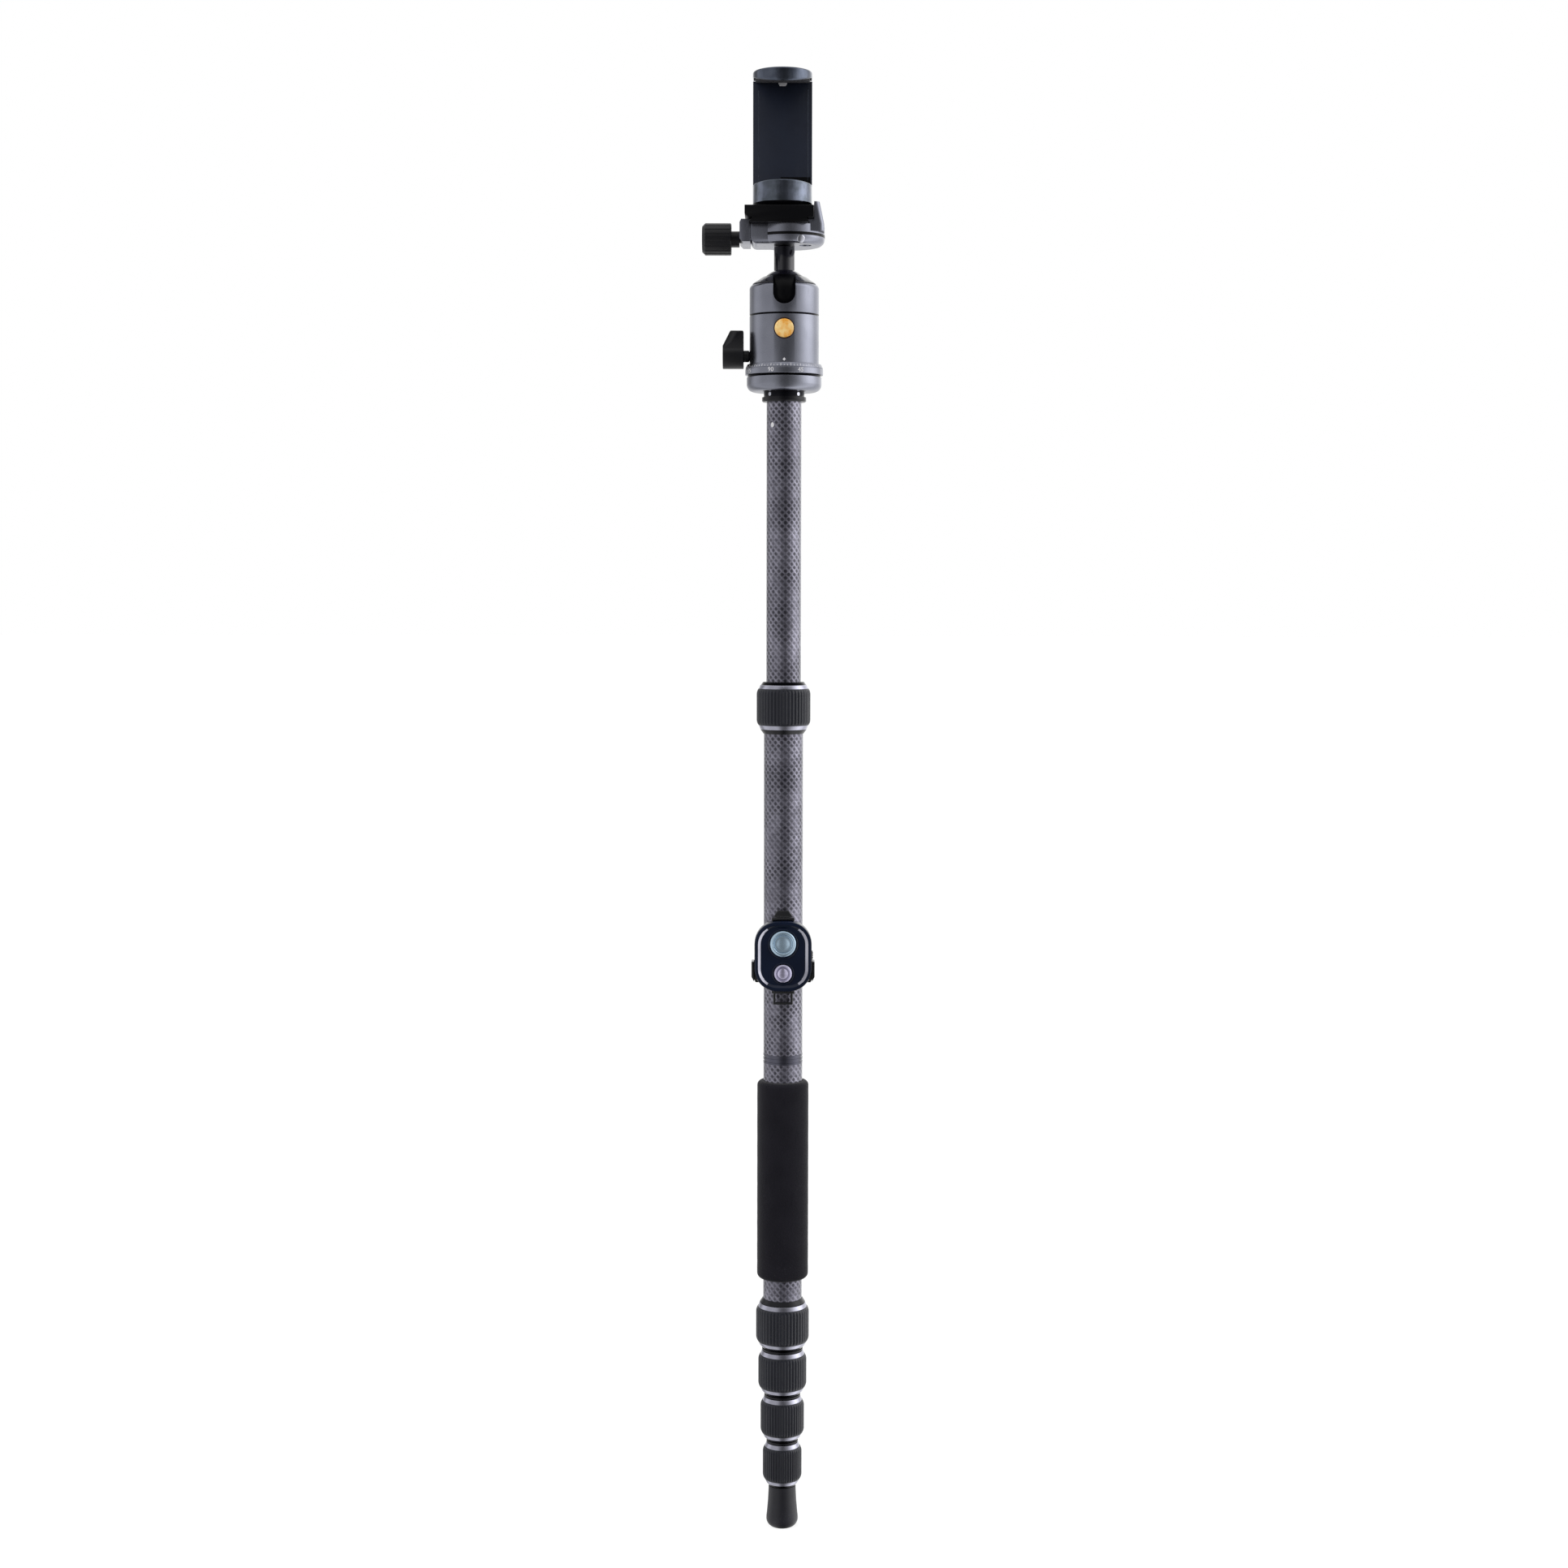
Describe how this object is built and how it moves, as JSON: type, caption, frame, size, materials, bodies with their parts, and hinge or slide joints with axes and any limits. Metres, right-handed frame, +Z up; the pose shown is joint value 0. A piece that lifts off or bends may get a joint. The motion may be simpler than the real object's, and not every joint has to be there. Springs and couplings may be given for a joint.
{
  "type": "camera monopod with ball head, phone holder and remote",
  "caption": "Telescopic carbon monopod with twist locks, foam grip, ball head, dovetail clamp, sprung phone holder and clip-on shutter remote.",
  "frame": {"origin": "centre of the rubber foot's flat sole, on the axis of the tubes", "axes": "+Z up along the tubes, -Y the front with the head's notch and the remote's buttons, -X the side of the clamp knob and the pan knob"},
  "size_m": [0.0799, 0.0711, 0.9678],
  "materials": {
    "carbon_weave": "satin",
    "gunmetal": "satin",
    "black_metal": "satin",
    "bright_metal": "satin",
    "orange_metal": "satin",
    "steel": "satin",
    "grip_rubber": "matte",
    "foam": "matte",
    "pad_rubber": "matte",
    "black_plastic": "satin",
    "inner_plastic": "matte",
    "remote_gloss": "gloss",
    "button_blue": "satin",
    "button_violet": "satin",
    "board_green": "matte"
  },
  "bodies": {
    "leg_top": {"leg_tube_1": "carbon_weave", "leg_lock_sleeve_1": "black_metal", "leg_lock_collet_1": "inner_plastic", "foam_grip": "foam", "column_joint": "black_metal", "column_lower_tube": "carbon_weave", "column_lock_sleeve": "black_metal", "column_lock_collet": "inner_plastic"},
    "leg_section_2": {"leg_tube_2": "carbon_weave", "leg_lock_sleeve_2": "black_metal", "leg_lock_collet_2": "inner_plastic"},
    "leg_section_3": {"leg_tube_3": "carbon_weave", "leg_lock_sleeve_3": "black_metal", "leg_lock_collet_3": "inner_plastic"},
    "leg_section_4": {"leg_tube_4": "carbon_weave", "leg_lock_sleeve_4": "black_metal", "leg_lock_collet_4": "inner_plastic"},
    "leg_section_5": {"leg_tube_5": "carbon_weave", "foot_plug": "inner_plastic", "rubber_foot": "grip_rubber"},
    "leg_nut_1": {"leg_lock_nut_1": "bright_metal", "leg_lock_grip_1": "grip_rubber"},
    "leg_nut_2": {"leg_lock_nut_2": "bright_metal", "leg_lock_grip_2": "grip_rubber"},
    "leg_nut_3": {"leg_lock_nut_3": "bright_metal", "leg_lock_grip_3": "grip_rubber"},
    "leg_nut_4": {"leg_lock_nut_4": "bright_metal", "leg_lock_grip_4": "grip_rubber"},
    "column_nut": {"column_lock_nut": "bright_metal", "column_lock_grip": "grip_rubber"},
    "column_upper": {"column_upper_tube": "carbon_weave", "column_top_plate": "black_metal", "top_plate_set_screws": "steel", "pan_base": "gunmetal", "scale_ring": "gunmetal"},
    "head": {"head_housing": "gunmetal", "ball_cup": "inner_plastic", "ball_collar": "black_metal", "tension_cap": "orange_metal"},
    "pan_knob": {"pan_knob": "black_metal"},
    "lock_knob": {"lock_knob": "black_metal"},
    "ball": {"ball_stem": "bright_metal"},
    "clamp": {"clamp_body": "gunmetal"},
    "clamp_jaw": {"clamp_jaw": "gunmetal"},
    "clamp_knob": {"clamp_knob": "black_metal"},
    "plate": {"release_plate": "black_metal", "camera_screw": "steel", "holder_body": "black_plastic", "lower_jaw_pad": "pad_rubber", "holder_springs": "steel"},
    "upper_jaw": {"holder_upper_jaw": "black_plastic", "upper_jaw_pad": "pad_rubber"},
    "remote_clip": {"remote_clip": "black_plastic"},
    "remote": {"remote_back_shell": "remote_gloss", "remote_front_shell": "remote_gloss", "remote_board": "board_green", "remote_cell": "steel"},
    "button_large": {"shutter_button_large": "button_blue"},
    "button_small": {"shutter_button_small": "button_violet"},
    "power_switch": {"power_switch": "black_plastic"}
  },
  "joints": [
    {"name": "leg_section_2_slide", "type": "slide", "parent": "leg_top", "child": "leg_section_2", "axis": [0, 0, -1], "range_m": [0, 0.118]},
    {"name": "leg_section_3_slide", "type": "slide", "parent": "leg_section_2", "child": "leg_section_3", "axis": [0, 0, -1], "range_m": [0, 0.148]},
    {"name": "leg_section_4_slide", "type": "slide", "parent": "leg_section_3", "child": "leg_section_4", "axis": [0, 0, -1], "range_m": [0, 0.178]},
    {"name": "leg_section_5_slide", "type": "slide", "parent": "leg_section_4", "child": "leg_section_5", "axis": [0, 0, -1], "range_m": [0, 0.208]},
    {"name": "leg_lock_1_turn", "type": "hinge", "parent": "leg_top", "child": "leg_nut_1", "pos_m": [0, 0, 0.1387], "axis": [0, 0, -1], "range_deg": [0, 90]},
    {"name": "leg_lock_2_turn", "type": "hinge", "parent": "leg_section_2", "child": "leg_nut_2", "pos_m": [0, 0, 0.1069], "axis": [0, 0, -1], "range_deg": [0, 90]},
    {"name": "leg_lock_3_turn", "type": "hinge", "parent": "leg_section_3", "child": "leg_nut_3", "pos_m": [0, 0, 0.0751], "axis": [0, 0, -1], "range_deg": [0, 90]},
    {"name": "leg_lock_4_turn", "type": "hinge", "parent": "leg_section_4", "child": "leg_nut_4", "pos_m": [0, 0, 0.0433], "axis": [0, 0, -1], "range_deg": [0, 90]},
    {"name": "column_lock_turn", "type": "hinge", "parent": "leg_top", "child": "column_nut", "pos_m": [0, 0, 0.5571], "axis": [0, 0, 1], "range_deg": [0, 90]},
    {"name": "column_slide", "type": "slide", "parent": "leg_top", "child": "column_upper", "axis": [0, 0, 1], "range_m": [-0.172, 0]},
    {"name": "pan_turn", "type": "hinge", "parent": "column_upper", "child": "head", "pos_m": [0, 0, 0.785], "axis": [0, 0, 1], "continuous": true},
    {"name": "pan_knob_turn", "type": "hinge", "parent": "head", "child": "pan_knob", "pos_m": [-0.03, 0, 0.7859], "axis": [-1, 0, 0], "range_deg": [0, 180]},
    {"name": "ball_lock_knob_turn", "type": "hinge", "parent": "head", "child": "lock_knob", "pos_m": [0, 0.03, 0.801], "axis": [0, 1, 0], "range_deg": [0, 180]},
    {"name": "ball_tilt", "type": "hinge", "parent": "head", "child": "ball", "pos_m": [0, 0, 0.825], "axis": [1, 0, 0], "range_deg": [-25, 90]},
    {"name": "clamp_turn", "type": "hinge", "parent": "ball", "child": "clamp", "pos_m": [0, 0, 0.86], "axis": [0, 0, 1], "continuous": true},
    {"name": "clamp_jaw_slide", "type": "slide", "parent": "clamp", "child": "clamp_jaw", "axis": [-1, 0, 0], "range_m": [0, 0.004]},
    {"name": "clamp_knob_turn", "type": "hinge", "parent": "clamp_jaw", "child": "clamp_knob", "pos_m": [-0.04, 0, 0.8615], "axis": [-1, 0, 0], "range_deg": [0, 1440]},
    {"name": "plate_slide", "type": "slide", "parent": "clamp", "child": "plate", "axis": [0, -1, 0], "range_m": [-0.046, 0.046]},
    {"name": "phone_jaw_slide", "type": "slide", "parent": "plate", "child": "upper_jaw", "axis": [0, 0, 1], "range_m": [0, 0.02], "stiffness_N_per_m": 250, "springref_m": -0.02, "deforming": ["holder_springs"]},
    {"name": "remote_clip_slide", "type": "slide", "parent": "leg_top", "child": "remote_clip", "axis": [0, 0, 1], "range_m": [-0.05, 0.11]},
    {"name": "remote_lift_out", "type": "slide", "parent": "remote_clip", "child": "remote", "axis": [0, -1, 0], "range_m": [0, 0.025]},
    {"name": "shutter_button_large_press", "type": "slide", "parent": "remote", "child": "button_large", "axis": [0, 1, 0], "range_m": [0, 0.0005], "stiffness_N_per_m": 2000, "springref_m": -0.0005},
    {"name": "shutter_button_small_press", "type": "slide", "parent": "remote", "child": "button_small", "axis": [0, 1, 0], "range_m": [0, 0.0005], "stiffness_N_per_m": 2000, "springref_m": -0.0005},
    {"name": "power_switch_slide", "type": "slide", "parent": "remote", "child": "power_switch", "axis": [0, 0, 1], "range_m": [0, 0.002]}
  ],
  "couplings": [
    {"joint": "clamp_knob_turn", "follows": "clamp_jaw_slide", "rad_per_m": 6283.2}
  ]
}
